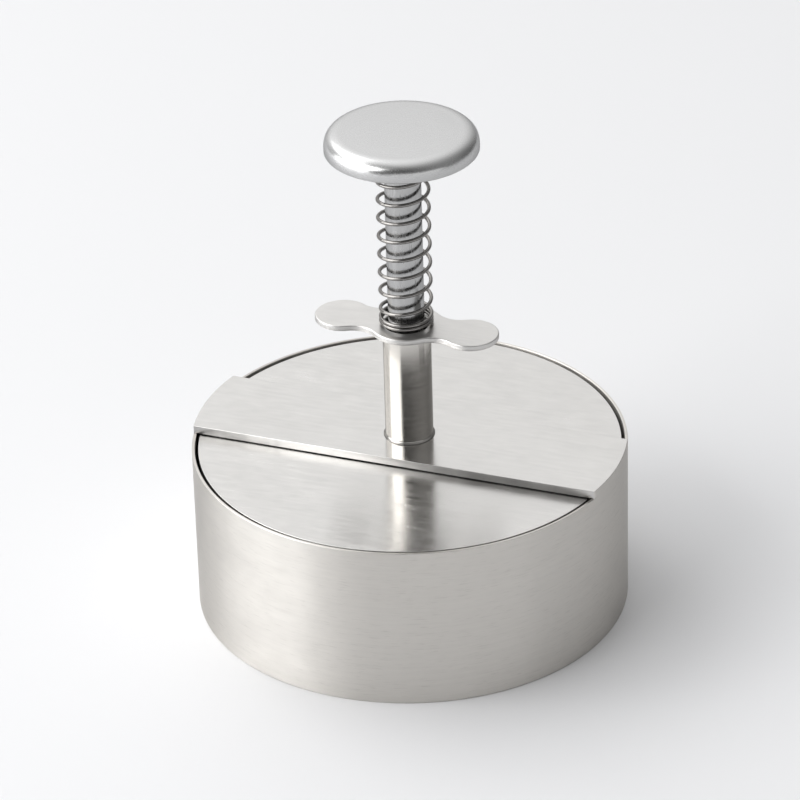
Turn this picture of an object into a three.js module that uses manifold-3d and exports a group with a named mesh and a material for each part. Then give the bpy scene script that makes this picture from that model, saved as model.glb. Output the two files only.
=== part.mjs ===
// Patty press: a round mould ring with a bar across its rim, a guide tube with finger
// wings standing on the bar, and a sprung plunger with a plate below and a knob on top.
// Millimetres, +Z up. The origin is on the ring's axis, in the plane that the ring
// stands on. The bar and the wings run along X.

import * as THREE from "three";
import { mergeVertices } from "three/addons/utils/BufferGeometryUtils.js";
import Module from "manifold-3d";

// Driving dimensions.
const RING = { radius: 59, wall: 0.8, height: 46.5 };
const BAR = { width: 29, thickness: 2.2 };
const TUBE = { radius: 6.5, bore: 5.5, length: 32.3, fillet: 0.6 };
const GRIP = {
  thickness: 1.6,
  hole: 6,
  hubRadius: 9.9,
  wingRadius: 7.5,
  wingCentre: 18.2,
  waistFillet: 7,
};
const PLATE = { radius: 57.3, thickness: 2, topEdge: 0.5, bottomEdge: 0.3, belowBar: 0.3 };
const ROD = { radius: 4.9, studRadius: 2.9, studLength: 4, tapRadius: 2.55, tapDepth: 12 };
const SCREW = { radius: 2.45, headRadius: 4.5, length: 12, socketFlats: 3, socketDepth: 1.5 };
const SINK = { radius: 4.7, hole: 2.8 };
const SPRING = {
  length: 52.2,
  radius: 6.8,
  wire: 1,
  closedPitch: 1.1,
  openPitch: 5.42,
  closedTurnsBelow: 2,
  closedTurnsAbove: 1.25,
  easeTurns: 0.5,
  startAngle: THREE.MathUtils.degToRad(356.3),
  seatGap: 0.1,
};
const KNOB = {
  radius: 20.5,
  height: 5.5,
  wall: 0.8,
  shoulderWidth: 4.8,
  shoulderHeight: 4.6,
  squareness: 2.6,
  edge: 0.3,
  lip: 0.35,
  lipWidth: 0.5,
};
const BASE = { radius: 19.5, height: 0.4, thickness: 1, hole: 3.1 };
const NUT = { flats: 10, height: 2.8, hole: 3.05 };

// Fineness of round shapes.
const WIDE_SIDES = 96;
const NARROW_SIDES = 48;
const ARC_STEPS = 12;
const WIRE_STEPS_PER_TURN = 20;
const WIRE_SIDES = 8;

// Heights that follow from the driving dimensions.
const BAR_TOP = RING.height + BAR.thickness;
const TUBE_TOP = BAR_TOP + TUBE.length;
const GRIP_TOP = TUBE_TOP + GRIP.thickness;
const PLATE_TOP = RING.height - PLATE.belowBar;
const PLATE_BOTTOM = PLATE_TOP - PLATE.thickness;
const SPRING_BOTTOM = GRIP_TOP + SPRING.seatGap;
const BASE_BOTTOM = SPRING_BOTTOM + SPRING.length + SPRING.seatGap;
const KNOB_BOTTOM = BASE_BOTTOM - BASE.height;

const wasm = await Module();
wasm.setup();

// Materials: one brushed steel tone for each piece.
function steel(color, roughness) {
  return new THREE.MeshStandardMaterial({ color, roughness, metalness: 1 });
}

function piece(name, geometry, material, height = 0) {
  const mesh = new THREE.Mesh(geometry, material);
  mesh.name = name;
  mesh.position.z = height;
  return mesh;
}

// A solid turned about Z. The profile is a list of [radius, height] with the material
// on its left, and it starts and ends on the axis or is closed by repeating its start.
function turned(profile, sides) {
  const onAxis = profile[0][0] === 0;
  const outline = onAxis ? profile : [...profile, profile[0]];
  const points = outline.map(([r, z]) => new THREE.Vector2(r, z));
  return new THREE.LatheGeometry(points, sides).rotateX(Math.PI / 2);
}

// Points of a round arc in a profile, from one angle to the other.
function arc(r, z, radius, from, to, steps) {
  return Array.from({ length: steps + 1 }, (_, i) => {
    const angle = from + ((to - from) * i) / steps;
    return [r + radius * Math.cos(angle), z + radius * Math.sin(angle)];
  });
}

// Points of a quarter curve in a profile, from its outermost point up to its highest. A
// squareness of 2 is an ellipse, and a greater one fills the corner more.
function quarter(r, z, width, height, squareness, steps) {
  return Array.from({ length: steps + 1 }, (_, i) => {
    const angle = (i * Math.PI) / (2 * steps);
    const power = 2 / squareness;
    return [r + width * Math.cos(angle) ** power, z + height * Math.sin(angle) ** power];
  });
}

function extruded(shape, depth) {
  return new THREE.ExtrudeGeometry(shape, { depth, bevelEnabled: false, curveSegments: ARC_STEPS });
}

function roundHole(radius) {
  return new THREE.Path().absarc(0, 0, radius, 0, 2 * Math.PI, true);
}

function hexagon(flats) {
  const corner = flats / Math.sqrt(3);
  const corners = Array.from({ length: 6 }, (_, i) => {
    const angle = (i * Math.PI) / 3;
    return new THREE.Vector2(corner * Math.cos(angle), corner * Math.sin(angle));
  });
  return new THREE.Shape(corners);
}

// Boolean cut with manifold-3d.
function manifoldOf(geometry) {
  const bare = geometry.clone();
  bare.deleteAttribute("normal");
  bare.deleteAttribute("uv");
  const merged = mergeVertices(bare, 1e-4);
  const vertProperties = merged.getAttribute("position").array;
  const triVerts = new Uint32Array(merged.index.array);
  return new wasm.Manifold(new wasm.Mesh({ numProp: 3, vertProperties, triVerts }));
}

function cut(body, tool) {
  const mesh = manifoldOf(body).subtract(manifoldOf(tool)).getMesh();
  const geometry = new THREE.BufferGeometry();
  geometry.setAttribute("position", new THREE.BufferAttribute(mesh.vertProperties, 3));
  geometry.setIndex(new THREE.BufferAttribute(mesh.triVerts, 1));
  geometry.computeVertexNormals();
  return geometry;
}

// The mould ring: rolled sheet, open above and below.
function mouldRing() {
  const inner = RING.radius - RING.wall;
  const profile = [
    [inner, 0],
    [RING.radius, 0],
    [RING.radius, RING.height],
    [inner, RING.height],
  ];
  return turned(profile, WIDE_SIDES);
}

// The bar across the rim: its ends follow the ring's outer face.
function bridgeBar() {
  const half = Math.asin(BAR.width / 2 / RING.radius);
  const shape = new THREE.Shape();
  shape.absarc(0, 0, RING.radius, -half, half, false);
  shape.absarc(0, 0, RING.radius, Math.PI - half, Math.PI + half, false);
  shape.closePath();
  shape.holes.push(roundHole(TUBE.bore));
  return extruded(shape, BAR.thickness);
}

// The guide tube, with the weld's small fillet round its foot.
function guideTube() {
  const profile = [
    [TUBE.bore, 0],
    ...arc(
      TUBE.radius + TUBE.fillet,
      TUBE.fillet,
      TUBE.fillet,
      (3 * Math.PI) / 2,
      Math.PI,
      4,
    ),
    [TUBE.radius, TUBE.length],
    [TUBE.bore, TUBE.length],
  ];
  return turned(profile, NARROW_SIDES);
}

// The finger grip: a round hub and two round wings, joined by hollow waists.
function fingerGrip() {
  const fromHub = GRIP.hubRadius + GRIP.waistFillet;
  const fromWing = GRIP.wingRadius + GRIP.waistFillet;
  const x = (fromHub ** 2 - fromWing ** 2 + GRIP.wingCentre ** 2) / (2 * GRIP.wingCentre);
  const y = Math.sqrt(fromHub ** 2 - x ** 2);
  const atWing = Math.atan2(y, x - GRIP.wingCentre);
  const atHub = Math.atan2(y, x);
  const shape = new THREE.Shape();
  for (const turn of [0, Math.PI]) {
    const side = Math.cos(turn);
    shape.absarc(side * GRIP.wingCentre, 0, GRIP.wingRadius, turn - atWing, turn + atWing, false);
    shape.absarc(side * x, side * y, GRIP.waistFillet, turn + atWing - Math.PI, turn + atHub - Math.PI, true);
    shape.absarc(0, 0, GRIP.hubRadius, turn + atHub, turn + Math.PI - atHub, false);
    shape.absarc(-side * x, side * y, GRIP.waistFillet, turn - atHub, turn - atWing, true);
  }
  shape.holes.push(roundHole(GRIP.hole));
  return extruded(shape, GRIP.thickness);
}

// The press plate: a disc with eased edges and a countersunk hole from below.
function pressPlate() {
  const { radius, thickness, topEdge, bottomEdge } = PLATE;
  const profile = [
    [SINK.radius, 0],
    [radius - bottomEdge, 0],
    [radius, bottomEdge],
    ...arc(radius - topEdge, thickness - topEdge, topEdge, 0, Math.PI / 2, 3),
    [SINK.hole, thickness],
    [SINK.hole, SINK.radius - SINK.hole],
  ];
  return turned(profile, WIDE_SIDES);
}

// The countersunk screw, head down, with a hexagon socket.
function plateScrew() {
  const cone = SCREW.headRadius - SCREW.radius;
  const body = turned(
    [
      [0, 0],
      [SCREW.headRadius, 0],
      [SCREW.radius, cone],
      [SCREW.radius, SCREW.length],
      [0, SCREW.length],
    ],
    NARROW_SIDES,
  );
  const socket = extruded(hexagon(SCREW.socketFlats), 2 * SCREW.socketDepth);
  socket.translate(0, 0, -SCREW.socketDepth);
  return cut(body, socket);
}

// The plunger's rod: tapped below for the plate's screw, a stud above for the knob.
function plungerRod() {
  const length = BASE_BOTTOM - PLATE_TOP;
  const profile = [
    [0, ROD.tapDepth],
    [ROD.tapRadius, ROD.tapDepth],
    [ROD.tapRadius, 0],
    [ROD.radius, 0],
    [ROD.radius, length],
    [ROD.studRadius, length],
    [ROD.studRadius, length + ROD.studLength],
    [0, length + ROD.studLength],
  ];
  return turned(profile, NARROW_SIDES);
}

// The knob's drawn shell: a flat top, a full round shoulder and a lip that holds its base.
function knobShell() {
  const { radius, height, wall, shoulderWidth, shoulderHeight, squareness, edge, lip, lipWidth } = KNOB;
  const inner = radius - wall;
  const flat = radius - shoulderWidth;
  const side = height - shoulderHeight;
  const outerCurve = quarter(flat, side, shoulderWidth, shoulderHeight, squareness, 12);
  const innerCurve = quarter(flat, side, shoulderWidth - wall, shoulderHeight - wall, squareness, 8);
  const profile = [
    [0, height - wall],
    ...innerCurve.reverse(),
    [inner, lip],
    [inner - lipWidth, lip],
    [inner - lipWidth, 0],
    ...arc(radius - edge, edge, edge, -Math.PI / 2, 0, 3),
    ...outerCurve,
    [0, height],
  ];
  return turned(profile, WIDE_SIDES);
}

function knobBase() {
  const profile = [
    [BASE.hole, 0],
    [BASE.radius, 0],
    [BASE.radius, BASE.thickness],
    [BASE.hole, BASE.thickness],
  ];
  return turned(profile, WIDE_SIDES);
}

function knobNut() {
  const shape = hexagon(NUT.flats);
  shape.holes.push(roundHole(NUT.hole));
  return extruded(shape, NUT.height);
}

// The spring's centre line: closed turns at both ends, open turns between, and a pitch
// that eases from one to the other.
class SpringLine extends THREE.Curve {
  constructor() {
    super();
    const { closedPitch, openPitch, closedTurnsBelow, closedTurnsAbove, easeTurns } = SPRING;
    const rise = SPRING.length - SPRING.wire;
    const closedRise = closedPitch * (easeTurns + closedTurnsAbove);
    const extraPitch = openPitch - closedPitch;
    this.opens = closedTurnsBelow;
    this.closes = (rise - closedRise + extraPitch * closedTurnsBelow) / openPitch;
    this.turns = this.closes + easeTurns + closedTurnsAbove;
    this.arcLengthDivisions = 2000;
  }

  height(turn) {
    const eased = (t) => {
      if (t < 0) return 0;
      return t < SPRING.easeTurns ? t ** 2 / (2 * SPRING.easeTurns) : t - SPRING.easeTurns / 2;
    };
    const openTurns = eased(turn - this.opens) - eased(turn - this.closes);
    return SPRING.closedPitch * turn + (SPRING.openPitch - SPRING.closedPitch) * openTurns;
  }

  getPoint(t, target = new THREE.Vector3()) {
    const turn = t * this.turns;
    const angle = SPRING.startAngle + 2 * Math.PI * turn;
    const height = SPRING.wire / 2 + this.height(turn);
    return target.set(SPRING.radius * Math.cos(angle), SPRING.radius * Math.sin(angle), height);
  }
}

function returnSpring() {
  const extrudePath = new SpringLine();
  const section = new THREE.Shape(
    Array.from({ length: WIRE_SIDES }, (_, i) => {
      const angle = (2 * Math.PI * (i + 0.5)) / WIRE_SIDES;
      return new THREE.Vector2(Math.cos(angle), Math.sin(angle)).multiplyScalar(SPRING.wire / 2);
    }),
  );
  const steps = Math.round(extrudePath.turns * WIRE_STEPS_PER_TURN);
  return new THREE.ExtrudeGeometry(section, { steps, bevelEnabled: false, extrudePath });
}

// The fixed frame: ring, bar, tube and grip.
const fixed = new THREE.Group();
fixed.add(
  piece("mould_ring", mouldRing(), steel(0xb9b8b6, 0.34)),
  piece("bridge_bar", bridgeBar(), steel(0xc9c8c6, 0.32), RING.height),
  piece("guide_tube", guideTube(), steel(0xc4c3c1, 0.22), BAR_TOP),
  piece("finger_grip", fingerGrip(), steel(0xc8c8c7, 0.3), TUBE_TOP),
);

// The knob, on the rod's stud.
const knob = new THREE.Group();
knob.position.z = KNOB_BOTTOM;
knob.add(
  piece("knob_shell", knobShell(), steel(0xc6c7c8, 0.3)),
  piece("knob_base", knobBase(), steel(0xb4b4b4, 0.4), BASE.height),
  piece("knob_nut", knobNut(), steel(0xa9a9a8, 0.4), BASE.height + BASE.thickness),
);

// The plunger: all that the rod carries.
const plunger = new THREE.Group();
plunger.add(
  piece("plunger_rod", plungerRod(), steel(0xb7b7b8, 0.26), PLATE_TOP),
  piece("press_plate", pressPlate(), steel(0xc9c8c6, 0.34), PLATE_BOTTOM),
  piece("plate_screw", plateScrew(), steel(0xa5a5a4, 0.35), PLATE_BOTTOM),
  knob,
);

const pattyPress = new THREE.Group();
pattyPress.add(fixed, plunger, piece("return_spring", returnSpring(), steel(0x8d8b8c, 0.18), SPRING_BOTTOM));

export default pattyPress;
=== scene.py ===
"""Patty press in brushed stainless steel, on a pale floor in a soft studio.

Lengths are in metres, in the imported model's frame: +Z up, the ring's axis at the origin and the bar
along X.
"""

import math

import bmesh
import bpy
import numpy as np
from mathutils import Matrix, Vector


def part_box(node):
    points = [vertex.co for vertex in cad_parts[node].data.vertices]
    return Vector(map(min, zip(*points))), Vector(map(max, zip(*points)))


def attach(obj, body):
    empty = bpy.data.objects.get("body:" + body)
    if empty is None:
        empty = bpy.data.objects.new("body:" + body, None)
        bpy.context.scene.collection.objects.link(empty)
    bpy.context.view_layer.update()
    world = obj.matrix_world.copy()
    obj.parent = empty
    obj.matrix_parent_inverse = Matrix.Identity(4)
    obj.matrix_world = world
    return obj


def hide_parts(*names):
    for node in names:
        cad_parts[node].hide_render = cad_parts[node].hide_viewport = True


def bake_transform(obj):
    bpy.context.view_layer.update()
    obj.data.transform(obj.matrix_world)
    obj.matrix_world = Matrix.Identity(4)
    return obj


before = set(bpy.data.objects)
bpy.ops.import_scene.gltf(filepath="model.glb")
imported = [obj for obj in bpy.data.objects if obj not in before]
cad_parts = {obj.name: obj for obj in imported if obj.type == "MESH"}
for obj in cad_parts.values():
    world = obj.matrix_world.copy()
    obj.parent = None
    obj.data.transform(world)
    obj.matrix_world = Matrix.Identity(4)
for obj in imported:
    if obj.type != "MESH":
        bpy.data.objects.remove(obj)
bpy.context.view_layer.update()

# ---------------------------------------------------------------- sizes from the frame and named values
MM = 0.001
ring_low, ring_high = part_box("mould_ring")
bar_low, bar_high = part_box("bridge_bar")
tube_low, tube_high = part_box("guide_tube")
grip_low, grip_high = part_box("finger_grip")
rod_low, rod_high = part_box("plunger_rod")
plate_low, plate_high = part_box("press_plate")
screw_low, screw_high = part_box("plate_screw")
knob_low, knob_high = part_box("knob_shell")
base_low, base_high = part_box("knob_base")
spring_low, spring_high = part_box("return_spring")

RING_RADIUS = ring_high.x
RING_WALL = 0.8 * MM
RING_EDGE = 0.15 * MM
RING_FOOT_EDGE = 0.35 * MM
BAR_EDGE = 0.12 * MM
WELD_DEPTH = 0.4 * MM
WELD_REACH = 0.25 * MM
WELD_INSET = 0.005 * MM
TUBE_RADIUS = 6.5 * MM
TUBE_BORE = 5.5 * MM
TUBE_WELD = tube_high.x - TUBE_RADIUS
TUBE_EDGE = 0.1 * MM
GRIP_HOLE = 6.0 * MM
GRIP_HUB = grip_high.y
GRIP_WING = 7.5 * MM
GRIP_WING_CENTRE = grip_high.x - GRIP_WING
GRIP_WAIST = 7.0 * MM
GRIP_EDGE = 0.35 * MM
ROD_RADIUS = rod_high.x
STUD_RADIUS = 2.9 * MM
ROD_EDGE = 0.2 * MM
PLATE_RADIUS = plate_high.x
PLATE_EDGE = 0.12 * MM
PLATE_FOOT_EDGE = 0.3 * MM
SINK_RADIUS = 4.7 * MM
SINK_HOLE = 2.8 * MM
SCREW_HEAD = screw_high.x
SCREW_RADIUS = 2.45 * MM
SOCKET_FLATS = 3.0 * MM
SOCKET_DEPTH = 1.5 * MM
KNOB_RADIUS = knob_high.x
KNOB_SHOULDER_WIDTH = 4.8 * MM
KNOB_SHOULDER_HEIGHT = 4.6 * MM
KNOB_SHOULDER_SQUARENESS = 2.6
KNOB_CROWN = 0.16 * MM
KNOB_FOOT_EDGE = 0.3 * MM
KNOB_WALL = 0.8 * MM
KNOB_LIP = 0.35 * MM
KNOB_LIP_WIDTH = 0.5 * MM
BASE_HOLE = 3.1 * MM
BASE_EDGE = 0.2 * MM
WIRE = 1.0 * MM
SPRING_RADIUS = spring_high.y - WIRE / 2
CLOSED_PITCH = 1.1 * MM
OPEN_PITCH = 5.42 * MM
CLOSED_BELOW = 2.0
CLOSED_ABOVE = 1.25
EASE_TURNS = 0.5
SPRING_START = math.radians(356.3)


# ---------------------------------------------------------------- mesh building
def make_object(name, verts, faces, smooth_below=50):
    """A mesh object whose faces are smooth, except across edges sharper than the angle."""
    mesh = bpy.data.meshes.new(name)
    mesh.from_pydata([tuple(v) for v in verts], [], faces)
    mesh.validate()
    bm = bmesh.new()
    bm.from_mesh(mesh)
    bmesh.ops.recalc_face_normals(bm, faces=bm.faces)
    bm.to_mesh(mesh)
    bm.free()
    mesh.polygons.foreach_set("use_smooth", [True] * len(mesh.polygons))
    mesh.set_sharp_from_angle(angle=math.radians(smooth_below))
    obj = bpy.data.objects.new(name, mesh)
    bpy.context.scene.collection.objects.link(obj)
    return obj


def eased(corners, steps=5, support=0.12 * MM):
    """A closed profile with its corners (r, z, radius) rounded, and support points beside each round."""
    points = []
    count = len(corners)
    for i, (r, z, radius) in enumerate(corners):
        here = Vector((r, z))
        if radius <= 0:
            points.append(tuple(here))
            continue
        before = Vector(corners[i - 1][:2]) - here
        after = Vector(corners[(i + 1) % count][:2]) - here
        half = before.angle(after) / 2
        reach = radius / math.tan(half)
        start = here + before.normalized() * reach
        end = here + after.normalized() * reach
        middle = (before.normalized() + after.normalized()).normalized()
        centre = here + middle * (radius / math.sin(half))
        if before.length > reach + 3 * support:
            points.append(tuple(start + before.normalized() * support))
        first = start - centre
        turn = math.pi - 2 * half
        side = 1 if first.cross(end - centre) > 0 else -1
        for step in range(steps + 1):
            spin = Matrix.Rotation(side * turn * step / steps, 2)
            points.append(tuple(centre + spin @ first))
        if after.length > reach + 3 * support:
            points.append(tuple(end + after.normalized() * support))
    return points


def turned(name, profile, sides=256, smooth_below=50):
    """A solid turned about Z from a closed profile of (r, z). A point on the axis becomes one vertex."""
    verts, rows = [], []
    for r, z in profile:
        if r < 1e-7:
            rows.append([len(verts)] * sides)
            verts.append((0, 0, z))
            continue
        rows.append(list(range(len(verts), len(verts) + sides)))
        for k in range(sides):
            angle = 2 * math.pi * k / sides
            verts.append((r * math.cos(angle), r * math.sin(angle), z))
    faces = []
    for i, row in enumerate(rows):
        following = rows[(i + 1) % len(rows)]
        for k in range(sides):
            n = (k + 1) % sides
            corners = [row[k], row[n], following[n], following[k]]
            face = list(dict.fromkeys(corners))
            if len(face) > 2:
                faces.append(face)
    return make_object(name, verts, faces, smooth_below)


def slab(name, outline, hole, low, high, edge, steps=5, support=0.15 * MM):
    """A flat plate with rounded edges. outline(inset) and hole(inset) give its loops, drawn in by inset."""
    levels = [(edge + support, low), (edge, low)]
    levels += [
        (edge * (1 - math.sin(t)), low + edge * (1 - math.cos(t)))
        for t in (math.pi / 2 * k / steps for k in range(1, steps + 1))
    ]
    levels += [(inset, low + high - z) for inset, z in reversed(levels)]
    bm = bmesh.new()
    caps = {0: [], len(levels) - 1: []}
    for loop in (outline, hole):
        rows = []
        for inset, z in levels:
            rows.append([bm.verts.new((x, y, z)) for x, y in loop(inset)])
        for a, b in zip(rows, rows[1:]):
            for k in range(len(a)):
                n = (k + 1) % len(a)
                bm.faces.new((a[k], a[n], b[n], b[k]))
        for level, edges in caps.items():
            row = rows[level]
            edges += [bm.edges.get((row[k], row[(k + 1) % len(row)])) for k in range(len(row))]
    for edges in caps.values():
        bmesh.ops.triangle_fill(bm, edges=edges, use_beauty=True)
    bmesh.ops.recalc_face_normals(bm, faces=bm.faces)
    mesh = bpy.data.meshes.new(name)
    bm.to_mesh(mesh)
    bm.free()
    mesh.polygons.foreach_set("use_smooth", [True] * len(mesh.polygons))
    obj = bpy.data.objects.new(name, mesh)
    bpy.context.scene.collection.objects.link(obj)
    return obj


def arc_points(x, y, radius, start, end, steps):
    """Points on an arc, without its last one."""
    angles = [start + (end - start) * k / steps for k in range(steps)]
    return [(x + radius * math.cos(a), y + radius * math.sin(a)) for a in angles]


def circle(radius, steps=96):
    return lambda inset: arc_points(0, 0, radius + inset, 0, 2 * math.pi, steps)


# ---------------------------------------------------------------- materials
class Nodes:
    """Short calls that add nodes to a material or world and link them."""

    def __init__(self, tree):
        self.tree = tree

    def add(self, kind, **settings):
        node = self.tree.nodes.new("ShaderNode" + kind)
        for key, value in settings.items():
            setattr(node, key, value)
        return node

    def link(self, source, target):
        self.tree.links.new(source, target)

    def feed(self, sockets, values):
        for socket, value in zip(sockets, values):
            if isinstance(value, (int, float)):
                socket.default_value = value
            elif value is not None:
                self.link(value, socket)

    def math(self, operation, a, b=None):
        node = self.add("Math", operation=operation)
        self.feed(node.inputs, (a, b))
        return node.outputs[0]

    def vector(self, x, y, z=0.0):
        node = self.add("CombineXYZ")
        self.feed(node.inputs, (x, y, z))
        return node.outputs[0]

    def noise(self, vector, scale=1.0, detail=3.0, roughness=0.55):
        node = self.add("TexNoise")
        node.inputs["Scale"].default_value = scale
        node.inputs["Detail"].default_value = detail
        node.inputs["Roughness"].default_value = roughness
        self.link(vector, node.inputs["Vector"])
        return node.outputs["Fac"]

    def remap(self, value, low, high, new_low, new_high):
        node = self.add("MapRange")
        self.feed(node.inputs, (value, low, high, new_low, new_high))
        return node.outputs["Result"]

    def total(self, *values):
        result = values[0]
        for value in values[1:]:
            result = self.math("ADD", result, value)
        return result


def steel(name, color, roughness, spread, grain):
    """A metallic material, its nodes and its shader. Spread draws reflections out across the grain."""
    material = bpy.data.materials.new(name)
    material.use_nodes = True
    n = Nodes(material.node_tree)
    shader = n.tree.nodes["Principled BSDF"]
    shader.inputs["Base Color"].default_value = (*color, 1)
    shader.inputs["Metallic"].default_value = 1.0
    shader.inputs["Roughness"].default_value = roughness
    shader.inputs["Anisotropic"].default_value = spread
    shader.inputs["Anisotropic Rotation"].default_value = 0.25
    shader.inputs["Specular Tint"].default_value = (0.55, 0.55, 0.55, 1)
    if spread and grain == "round":
        tangent = n.add("Tangent", direction_type="RADIAL", axis="Z")
        n.link(tangent.outputs["Tangent"], shader.inputs["Tangent"])
    elif spread:
        turn = n.add(
            "VectorTransform", vector_type="VECTOR", convert_from="OBJECT", convert_to="WORLD"
        )
        turn.inputs[0].default_value = (1, 0, 0)
        n.link(turn.outputs[0], shader.inputs["Tangent"])
    return material, n, shader


def brushed(
    name,
    color,
    roughness,
    spread,
    grain,
    groove=0.1,
    streak=0.02,
    cloud=0.02,
    marks=0.02,
    girth=1.0,
    darken_below=None,
):
    """Brushed stainless steel: fine grooves, softer streaks, a cloudy finish and short stray scratches.

    The grain runs round the axis, straight along X or upright, and girth is the radius that it runs at.
    Groove is the depth of the bump, and streak, cloud and marks say how much each one changes the finish.
    The last argument (low, high, tone) darkens the color from full at the upper height to that tone at the
    lower; on the knob it is painted shade.
    """
    material, n, shader = steel(name, color, roughness, spread, grain)
    place = n.add("TexCoord").outputs["Object"]
    parts = n.add("SeparateXYZ")
    n.link(place, parts.inputs[0])
    x, y, z = parts.outputs
    radius = n.math("SQRT", n.math("ADD", n.math("MULTIPLY", x, x), n.math("MULTIPLY", y, y)))
    turn = n.math("MULTIPLY", n.math("ARCTAN2", y, x), girth)
    if grain == "round":
        along, over, height = turn, n.math("ADD", z, radius), n.math("SUBTRACT", z, radius)
    elif grain == "upright":
        along, over, height = z, turn, radius
    else:
        along, over, height = x, y, z

    def lines(length, width, depth=1.0, detail=3.0):
        """Noise drawn out along the grain, with streaks of about this length and width."""
        spot = n.vector(
            n.math("DIVIDE", along, length), n.math("DIVIDE", over, width), n.math("DIVIDE", height, depth)
        )
        return n.noise(spot, detail=detail)

    def swing(value, middle, amount):
        """The noise's common range, spread evenly on both sides of a middle value."""
        return n.remap(value, 0.35, 0.65, middle - amount, middle + amount)

    grooves = lines(9 * MM, 0.16 * MM)
    streaks = lines(30 * MM, 1.0 * MM, detail=4.0)
    smears = lines(6 * MM, 1.4 * MM, 10 * MM, detail=4.0)
    clouds = n.noise(place, scale=110.0, detail=4.0)
    scratches = n.remap(lines(4 * MM, 0.3 * MM, 10 * MM, detail=1.0), 0.62, 0.72, 0.0, 1.0)

    def varied(middle, scratch):
        """A value that follows the streaks, smears, clouds and scratches."""
        return n.total(
            swing(streaks, middle, streak),
            swing(smears, 0, cloud),
            swing(clouds, 0, cloud),
            n.math("MULTIPLY", scratches, scratch),
        )

    n.link(varied(roughness, 1.5 * marks), shader.inputs["Roughness"])
    tone = varied(1, -1.5 * marks)
    # Painted shade on the knob's side; on the tube, the steel is darker toward its welded foot.
    if darken_below:
        low, high, darkest = darken_below
        tone = n.math("MULTIPLY", tone, n.remap(z, low, high, darkest, 1.0))
    tint = n.add("VectorMath", operation="SCALE")
    tint.inputs[0].default_value = color
    n.link(tone, tint.inputs["Scale"])
    n.link(tint.outputs[0], shader.inputs["Base Color"])
    bump = n.add("Bump")
    bump.inputs["Strength"].default_value = groove
    bump.inputs["Distance"].default_value = 0.01 * MM
    n.link(n.math("SUBTRACT", grooves, n.math("MULTIPLY", scratches, 0.3)), bump.inputs["Height"])
    n.link(bump.outputs["Normal"], shader.inputs["Normal"])
    return material


WARM = (0.672, 0.65, 0.616)
NEUTRAL = (0.66, 0.65, 0.635)
COOL = (0.62, 0.62, 0.62)
ROD_COLOR = (0.46, 0.46, 0.46)
WIRE_COLOR = (0.28, 0.27, 0.26)
SCREW_COLOR = (0.5, 0.5, 0.49)

# After the color: roughness, spread, grain, groove, streak, cloud, marks, girth, darkening below (painted
# shade on the knob).
ring_steel = brushed("ring_steel", WARM, 0.38, 0.85, "round", 0.06, 0.018, 0.013, 0.045, RING_RADIUS)
bar_steel = brushed("bar_steel", NEUTRAL, 0.20, 0.8, "straight", 0.07, 0.014, 0.02, 0.015)
grip_steel = brushed("grip_steel", NEUTRAL, 0.36, 0.5, "straight", 0.06, 0.014, 0.025, 0.02)
edge_steel = brushed("edge_steel", NEUTRAL, 0.42, 0.0, "straight", 0.1, 0.04, 0.04, 0.04)
plate_steel = brushed("plate_steel", NEUTRAL, 0.22, 0.80, "straight", 0.07, 0.014, 0.025, 0.012)
# The tube's steel is darker toward its welded foot.
tube_foot = (tube_low.z + TUBE_WELD - 0.5 * MM, tube_low.z + TUBE_WELD + 0.2 * MM, 0.45)
tube_steel = brushed(
    "tube_steel", WARM, 0.17, 0.4, "round", 0.05, 0.01, 0.012, 0.02, TUBE_RADIUS, tube_foot
)
rod_steel = brushed("rod_steel", ROD_COLOR, 0.22, 0.0, "upright", 0.2, 0.06, 0.03, 0.08, ROD_RADIUS)
# Painted shade: the knob's side is darker toward its lip.
knob_side_painted_shade = (knob_low.z + 0.3 * MM, knob_low.z + 2.8 * MM, 0.78)
knob_steel = brushed(
    "knob_steel", COOL, 0.27, 0.0, "round", 0.008, 0.003, 0.006, 0.01, KNOB_RADIUS, knob_side_painted_shade
)
spring_steel = brushed("spring_steel", WIRE_COLOR, 0.15, 0.0, "round", girth=SPRING_RADIUS)
screw_steel = brushed("screw_steel", SCREW_COLOR, 0.28, 0.0, "round", girth=SCREW_HEAD)


def finish_piece(obj, body, material, slot, *nodes):
    """Gives a piece its material and body, and hides the CAD nodes that it stands for; the slot is not
    used.
    """
    obj.data.materials.clear()
    obj.data.materials.append(material)
    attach(obj, body)
    if nodes:
        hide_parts(*nodes)


# ---------------------------------------------------------------- the fixed frame
def mould_ring():
    inner = RING_RADIUS - RING_WALL
    corners = [
        (inner, ring_low.z, RING_EDGE),
        (RING_RADIUS, ring_low.z, RING_FOOT_EDGE),
        (RING_RADIUS, ring_high.z, RING_EDGE),
        (inner, ring_high.z, RING_EDGE),
    ]
    obj = turned("ring_wall", eased(corners))
    finish_piece(obj, "frame", ring_steel, "ring_steel", "mould_ring")


def bridge_bar():
    def outline(inset):
        radius = RING_RADIUS - inset
        half = math.asin((bar_high.y - inset) / radius)
        points = []
        for turn in (0, math.pi):
            points += arc_points(0, 0, radius, turn - half, turn + half, 24)
            last = turn + half
            points.append((radius * math.cos(last), radius * math.sin(last)))
        return points

    obj = slab("cross_bar", outline, circle(TUBE_BORE), bar_low.z, bar_high.z, BAR_EDGE)
    finish_piece(obj, "frame", bar_steel, "bar_steel", "bridge_bar")
    # The ends are ground flush with the ring, and the long edges are duller where the bar was cut.
    obj.data.materials.append(ring_steel)
    obj.data.materials.append(edge_steel)
    margin = 0.15 * MM
    for face in obj.data.polygons:
        if abs(face.normal.z) > 0.7:
            continue
        if math.hypot(face.center.x, face.center.y) > RING_RADIUS - margin:
            face.material_index = 1
        elif abs(face.center.y) > bar_high.y - margin:
            face.material_index = 2


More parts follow.
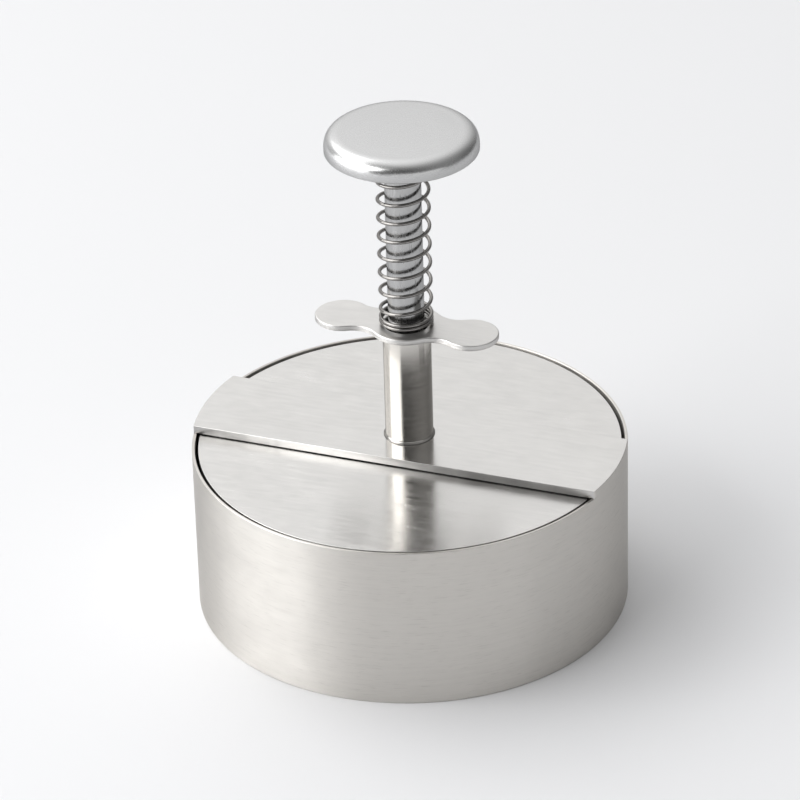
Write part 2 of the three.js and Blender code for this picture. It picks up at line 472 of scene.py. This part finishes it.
def rim_welds():
    """Weld metal, ground flush, that fills the seam between the ring's rim and the bar's two ends."""
    steps = 24
    outer = RING_RADIUS - WELD_INSET
    inner = outer - WELD_DEPTH
    half = math.asin(bar_high.y / RING_RADIUS)
    section = [(inner, -WELD_REACH), (outer, -WELD_REACH), (outer, WELD_REACH), (inner, WELD_REACH)]
    verts, faces = [], []
    for turn in (0, math.pi):
        first = len(verts)
        for k in range(steps + 1):
            angle = turn - half + 2 * half * k / steps
            verts += [(r * math.cos(angle), r * math.sin(angle), ring_high.z + z) for r, z in section]
        for i in range(first, first + 4 * steps, 4):
            faces += [[i + c, i + (c + 1) % 4, i + 4 + (c + 1) % 4, i + 4 + c] for c in range(4)]
        faces += [[first + c for c in range(4)], [len(verts) - 4 + c for c in range(4)]]
    obj = make_object("rim_welds", verts, faces)
    finish_piece(obj, "frame", ring_steel, "ring_steel")


def guide_tube():
    corners = [
        (TUBE_BORE, tube_low.z, 0),
        (TUBE_RADIUS + TUBE_WELD, tube_low.z, TUBE_EDGE),
        (TUBE_RADIUS, tube_low.z + TUBE_WELD, 0.5 * MM),
        (TUBE_RADIUS, tube_high.z, TUBE_EDGE),
        (TUBE_BORE, tube_high.z, TUBE_EDGE),
    ]
    obj = turned("tube_wall", eased(corners), 128)
    finish_piece(obj, "frame", tube_steel, "tube_steel", "guide_tube")


def finger_grip():
    def outline(inset):
        hub = GRIP_HUB - inset
        wing = GRIP_WING - inset
        waist = GRIP_WAIST + inset
        x = ((hub + waist) ** 2 - (wing + waist) ** 2 + GRIP_WING_CENTRE**2) / (2 * GRIP_WING_CENTRE)
        y = math.sqrt((hub + waist) ** 2 - x**2)
        at_wing = math.atan2(y, x - GRIP_WING_CENTRE)
        at_hub = math.atan2(y, x)
        points = []
        for turn in (0, math.pi):
            side = math.cos(turn)
            wing_x = side * GRIP_WING_CENTRE
            points += arc_points(wing_x, 0, wing, turn - at_wing, turn + at_wing, 40)
            back = turn - math.pi
            points += arc_points(side * x, side * y, waist, back + at_wing, back + at_hub, 12)
            points += arc_points(0, 0, hub, turn + at_hub, turn + math.pi - at_hub, 24)
            points += arc_points(-side * x, side * y, waist, turn - at_hub, turn - at_wing, 12)
        return points

    obj = slab("grip_plate", outline, circle(GRIP_HOLE), grip_low.z, grip_high.z, GRIP_EDGE)
    finish_piece(obj, "frame", grip_steel, "bar_steel", "finger_grip")


# ---------------------------------------------------------------- the plunger
def plunger_rod():
    shoulder = base_low.z
    corners = [
        (0, rod_low.z, 0),
        (ROD_RADIUS, rod_low.z, ROD_EDGE),
        (ROD_RADIUS, shoulder, ROD_EDGE),
        (STUD_RADIUS, shoulder, 0),
        (STUD_RADIUS, rod_high.z, ROD_EDGE),
        (0, rod_high.z, 0),
    ]
    obj = turned("rod_shaft", eased(corners), 96)
    finish_piece(obj, "plunger", rod_steel, "rod_steel", "plunger_rod")


def press_plate():
    corners = [
        (SINK_RADIUS, plate_low.z, 0.05 * MM),
        (PLATE_RADIUS, plate_low.z, PLATE_FOOT_EDGE),
        (PLATE_RADIUS, plate_high.z, PLATE_EDGE),
        (SINK_HOLE, plate_high.z, 0),
        (SINK_HOLE, plate_low.z + SINK_RADIUS - SINK_HOLE, 0),
    ]
    obj = turned("plate_disc", eased(corners))
    finish_piece(obj, "plunger", plate_steel, "plate_steel", "press_plate")


def plate_screw():
    cone = SCREW_HEAD - SCREW_RADIUS
    corners = [
        (0, screw_low.z, 0),
        (SCREW_HEAD, screw_low.z, 0.1 * MM),
        (SCREW_RADIUS, screw_low.z + cone, 0),
        (SCREW_RADIUS, screw_high.z, 0.2 * MM),
        (0, screw_high.z, 0),
    ]
    obj = turned("screw_body", eased(corners), 96)
    bpy.ops.mesh.primitive_cylinder_add(
        vertices=6,
        radius=SOCKET_FLATS / math.sqrt(3),
        depth=2 * SOCKET_DEPTH,
        location=(0, 0, screw_low.z),
    )
    tool = bpy.context.object
    socket = obj.modifiers.new("socket", "BOOLEAN")
    socket.operation = "DIFFERENCE"
    socket.object = tool
    evaluated = obj.evaluated_get(bpy.context.evaluated_depsgraph_get())
    mesh = bpy.data.meshes.new_from_object(evaluated)
    obj.modifiers.clear()
    obj.data = mesh
    mesh.set_sharp_from_angle(angle=math.radians(30))
    bpy.data.objects.remove(tool)
    finish_piece(obj, "plunger", screw_steel, "screw_steel", "plate_screw")


def knob_shell():
    inner = KNOB_RADIUS - KNOB_WALL
    lip_radius = inner - KNOB_LIP_WIDTH
    flat = KNOB_RADIUS - KNOB_SHOULDER_WIDTH
    bottom, top = knob_low.z, knob_high.z
    side = top - KNOB_CROWN - KNOB_SHOULDER_HEIGHT

    def shoulder(thickness, steps):
        """A squarish quarter curve from the side to the top, moved in by the sheet's thickness."""
        width, height = KNOB_SHOULDER_WIDTH - thickness, KNOB_SHOULDER_HEIGHT - thickness
        turns = [math.pi / 2 * k / steps for k in range(steps + 1)]
        power = 2 / KNOB_SHOULDER_SQUARENESS
        return [
            (flat + width * math.cos(t) ** power, side + height * math.sin(t) ** power) for t in turns
        ]

    profile = [(lip_radius, bottom)]
    profile += [
        (KNOB_RADIUS - KNOB_FOOT_EDGE * (1 - math.sin(t)), bottom + KNOB_FOOT_EDGE * (1 - math.cos(t)))
        for t in (math.pi / 2 * k / 6 for k in range(7))
    ]
    profile += shoulder(0, 28)
    profile += [(flat * (1 - k / 12), top - KNOB_CROWN * (1 - k / 12) ** 3) for k in range(1, 13)]
    profile += [(0, top - KNOB_WALL)]
    profile += reversed(shoulder(KNOB_WALL, 8))
    profile += [(inner, bottom + KNOB_LIP), (lip_radius, bottom + KNOB_LIP)]
    obj = turned("knob_cap", profile)
    finish_piece(obj, "plunger", knob_steel, "knob_steel", "knob_shell")


def knob_base():
    corners = [
        (BASE_HOLE, base_low.z, 0.1 * MM),
        (base_high.x, base_low.z, BASE_EDGE),
        (base_high.x, base_high.z, 0),
        (BASE_HOLE, base_high.z, 0),
    ]
    obj = turned("knob_disc", eased(corners), 128)
    finish_piece(obj, "plunger", knob_steel, "knob_steel", "knob_base")


# ---------------------------------------------------------------- the spring
def return_spring():
    rise = spring_high.z - spring_low.z - WIRE
    extra = OPEN_PITCH - CLOSED_PITCH
    closes = (rise - CLOSED_PITCH * (EASE_TURNS + CLOSED_ABOVE) + extra * CLOSED_BELOW) / OPEN_PITCH
    turns = closes + EASE_TURNS + CLOSED_ABOVE

    def ramp(t):
        return np.where(t < EASE_TURNS, np.maximum(t, 0) ** 2 / (2 * EASE_TURNS), t - EASE_TURNS / 2)

    sides, steps = 16, 48
    turn = np.linspace(0, turns, int(turns * steps) + 1)
    opened = ramp(turn - CLOSED_BELOW) - ramp(turn - closes)
    z = spring_low.z + WIRE / 2 + CLOSED_PITCH * turn + extra * opened
    angle = SPRING_START + 2 * math.pi * turn
    slope = np.arctan(np.gradient(z, turn) / (2 * math.pi * SPRING_RADIUS))
    verts, faces = [], []
    for a, height, pitch in zip(angle, z, slope):
        out = Vector((math.cos(a), math.sin(a), 0))
        up = Vector((math.sin(a) * math.sin(pitch), -math.cos(a) * math.sin(pitch), math.cos(pitch)))
        centre = out * SPRING_RADIUS + Vector((0, 0, height))
        for k in range(sides):
            t = 2 * math.pi * k / sides
            verts.append(centre + (out * math.cos(t) + up * math.sin(t)) * WIRE / 2)
    for i in range(len(turn) - 1):
        for k in range(sides):
            n = (k + 1) % sides
            faces.append([i * sides + k, i * sides + n, (i + 1) * sides + n, (i + 1) * sides + k])
    faces.append(list(range(sides)))
    faces.append(list(range(len(verts) - sides, len(verts))))
    obj = make_object("spring_coil", verts, faces, 60)
    obj.data.materials.append(spring_steel)
    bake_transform(obj)
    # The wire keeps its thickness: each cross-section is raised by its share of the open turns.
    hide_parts("return_spring")


mould_ring()
bridge_bar()
rim_welds()
guide_tube()
finger_grip()
plunger_rod()
press_plate()
plate_screw()
knob_shell()
knob_base()
return_spring()
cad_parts["knob_nut"].data.materials.clear()
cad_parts["knob_nut"].data.materials.append(screw_steel)


# ---------------------------------------------------------------- camera
VIEW_AZIMUTH = math.radians(20.9)
VIEW_ELEVATION = math.radians(29.85)
VIEW_ROLL = math.radians(-1.635)
VIEW_DISTANCE = 1.2533
VIEW_AIM_SIDE = -0.00232
VIEW_AIM_HEIGHT = 0.05888
LENS = 209.4
SIGHT_LIMIT = 20

across = Vector((math.cos(VIEW_AZIMUTH), math.sin(VIEW_AZIMUTH), 0))
forward = Vector(
    (
        -math.sin(VIEW_AZIMUTH) * math.cos(VIEW_ELEVATION),
        math.cos(VIEW_AZIMUTH) * math.cos(VIEW_ELEVATION),
        -math.sin(VIEW_ELEVATION),
    )
)


def make_camera():
    data = bpy.data.cameras.new("camera")
    data.lens = LENS
    data.clip_end = SIGHT_LIMIT
    camera = bpy.data.objects.new("camera", data)
    bpy.context.scene.collection.objects.link(camera)
    upward = across.cross(forward)
    right = across * math.cos(VIEW_ROLL) + upward * math.sin(VIEW_ROLL)
    up = right.cross(forward)
    place = across * VIEW_AIM_SIDE + Vector((0, 0, VIEW_AIM_HEIGHT)) - forward * VIEW_DISTANCE
    camera.matrix_world = Matrix(
        (
            (right.x, up.x, -forward.x, place.x),
            (right.y, up.y, -forward.y, place.y),
            (right.z, up.z, -forward.z, place.z),
            (0, 0, 0, 1),
        )
    )
    bpy.context.scene.camera = camera


make_camera()


# ---------------------------------------------------------------- floor and light
FLOOR_SIZE = 8
FLOOR_COLOR = (0.835, 0.838, 0.85)
LIGHT_TARGET_HEIGHT = 0.05


def make_floor():
    bpy.ops.mesh.primitive_plane_add(size=FLOOR_SIZE, location=(0, 0, 0))
    floor = bpy.context.object
    floor.name = "floor"
    material = bpy.data.materials.new("floor")
    material.use_nodes = True
    shader = material.node_tree.nodes["Principled BSDF"]
    shader.inputs["Base Color"].default_value = (*FLOOR_COLOR, 1)
    shader.inputs["Roughness"].default_value = 0.6
    shader.inputs["Specular IOR Level"].default_value = 0.2
    floor.data.materials.append(material)


def toward(azimuth, elevation):
    """The direction at an azimuth, in degrees anticlockwise from the camera's right, and an elevation."""
    turn = VIEW_AZIMUTH + math.radians(azimuth)
    rise = math.radians(elevation)
    return Vector((math.cos(turn) * math.cos(rise), math.sin(turn) * math.cos(rise), math.sin(rise)))


def softbox(name, azimuth, elevation, distance, width, height, radiance):
    """An evenly lit panel that faces the press."""
    data = bpy.data.lights.new(name, "AREA")
    data.shape = "RECTANGLE"
    data.size, data.size_y = width, height
    data.energy = radiance * 4 * width * height
    light = bpy.data.objects.new(name, data)
    bpy.context.scene.collection.objects.link(light)
    way = toward(azimuth, elevation)
    light.location = way * distance + Vector((0, 0, LIGHT_TARGET_HEIGHT))
    light.rotation_euler = way.to_track_quat("Z", "Y").to_euler()
    light.visible_camera = False


def make_world(base, walls):
    """The studio's walls: an even dimness, and broad glows (azimuth, elevation, strength, sharpness)."""
    world = bpy.data.worlds.new("studio")
    bpy.context.scene.world = world
    world.use_nodes = True
    n = Nodes(world.node_tree)
    background = n.tree.nodes["Background"]
    direction = n.add("TexCoord").outputs["Generated"]
    total = base
    for azimuth, elevation, strength, sharpness in walls:
        facing = n.add("VectorMath", operation="DOT_PRODUCT")
        facing.inputs[1].default_value = toward(azimuth, elevation)
        n.link(direction, facing.inputs[0])
        glow = n.math("POWER", n.math("MAXIMUM", facing.outputs["Value"], 0.0), sharpness)
        total = n.math("ADD", n.math("MULTIPLY", glow, strength), total)
    n.link(total, background.inputs["Strength"])
    background.inputs["Color"].default_value = (1, 1, 1, 1)


make_floor()
make_world(0.04, [(105, 15, 1.1, 2.5), (340, 32, 0.24, 2.5), (110, 76, 0.85, 4.0)])
softbox("window", 190, 10, 2.7, 2.9, 1.0, 3.1)
softbox("key_left", 150, 46, 2.4, 2.2, 1.5, 1.3)
softbox("key_front", 205, 36, 2.4, 2.2, 1.1, 3.0)
softbox("front_low", 290, 4, 3.0, 5.0, 0.6, 0.7)
bpy.context.scene.view_settings.view_transform = "Standard"
